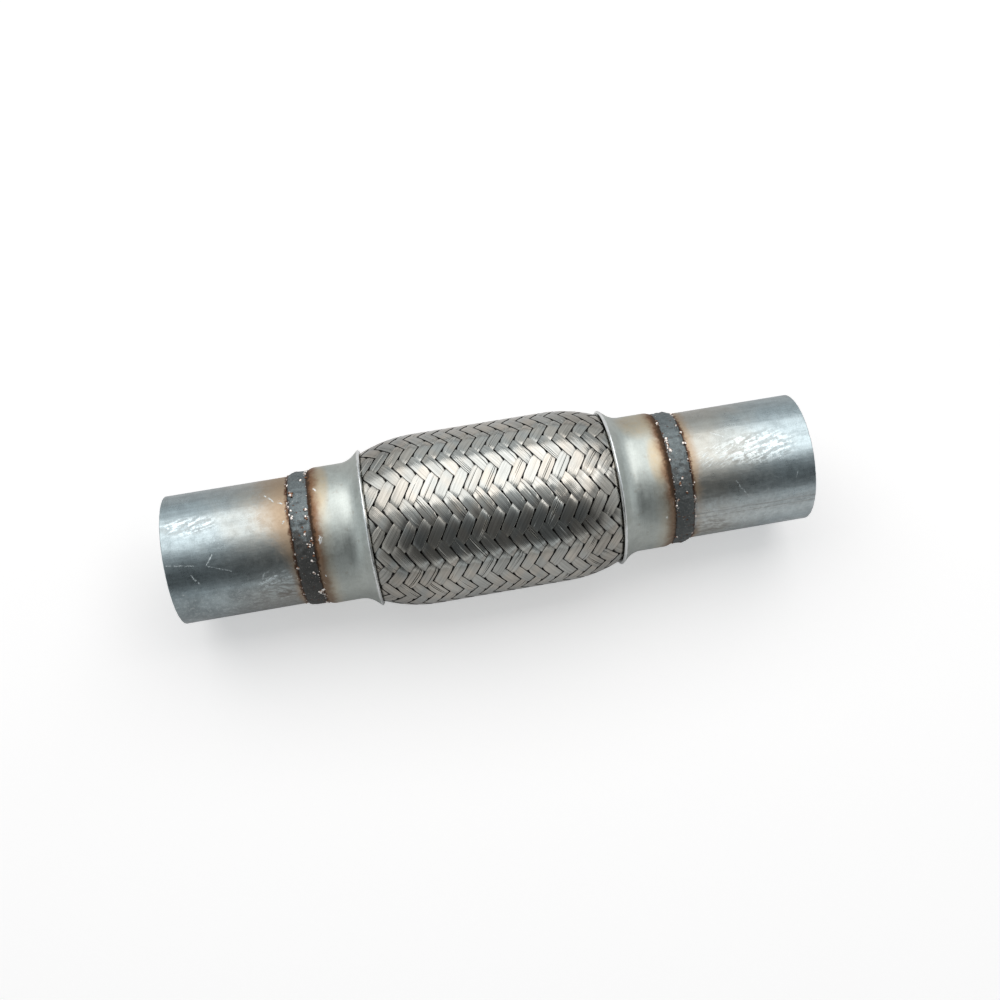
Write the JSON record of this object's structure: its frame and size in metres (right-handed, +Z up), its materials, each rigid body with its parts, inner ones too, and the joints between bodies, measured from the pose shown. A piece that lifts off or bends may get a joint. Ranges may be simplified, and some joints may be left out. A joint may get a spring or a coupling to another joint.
{
  "type": "exhaust flex pipe",
  "caption": "Flexible exhaust coupling: a woven steel braid over a bellows and a liner, held by end caps welded to short straight pipes. Takes up bending in an exhaust line.",
  "frame": {"origin": "on the pipe's axis, half way between its two ends", "axes": "+X along the pipe's axis, from the inlet pipe to the outlet pipe; +Z up, as the pipe lies on a surface"},
  "size_m": [0.24, 0.0652, 0.0652],
  "materials": {
    "pipe_steel": "bare mill finish, mottled and scratched",
    "weld_metal": "oxidised weld bead",
    "cap_stainless": "satin, straw tinted next to the weld",
    "braid_wire": "bright drawn wire",
    "bellows_stainless": "bright rolled",
    "liner_stainless": "bright rolled"
  },
  "bodies": {
    "inlet_end": {"inlet_pipe": "pipe_steel", "inlet_weld": "weld_metal", "inlet_cap": "cap_stainless", "braid": "braid_wire", "bellows": "bellows_stainless", "interlock_liner": "liner_stainless"},
    "outlet_end": {"outlet_pipe": "pipe_steel", "outlet_weld": "weld_metal", "outlet_cap": "cap_stainless"}
  },
  "joints": [
    {"name": "flex_bend", "type": "hinge", "parent": "inlet_end", "child": "outlet_end", "pos_m": [0, 0, 0], "axis": [0, 0, 1], "range_deg": [-12, 12], "stiffness_Nm_per_rad": 17, "deforming": ["braid", "bellows", "interlock_liner"]}
  ]
}
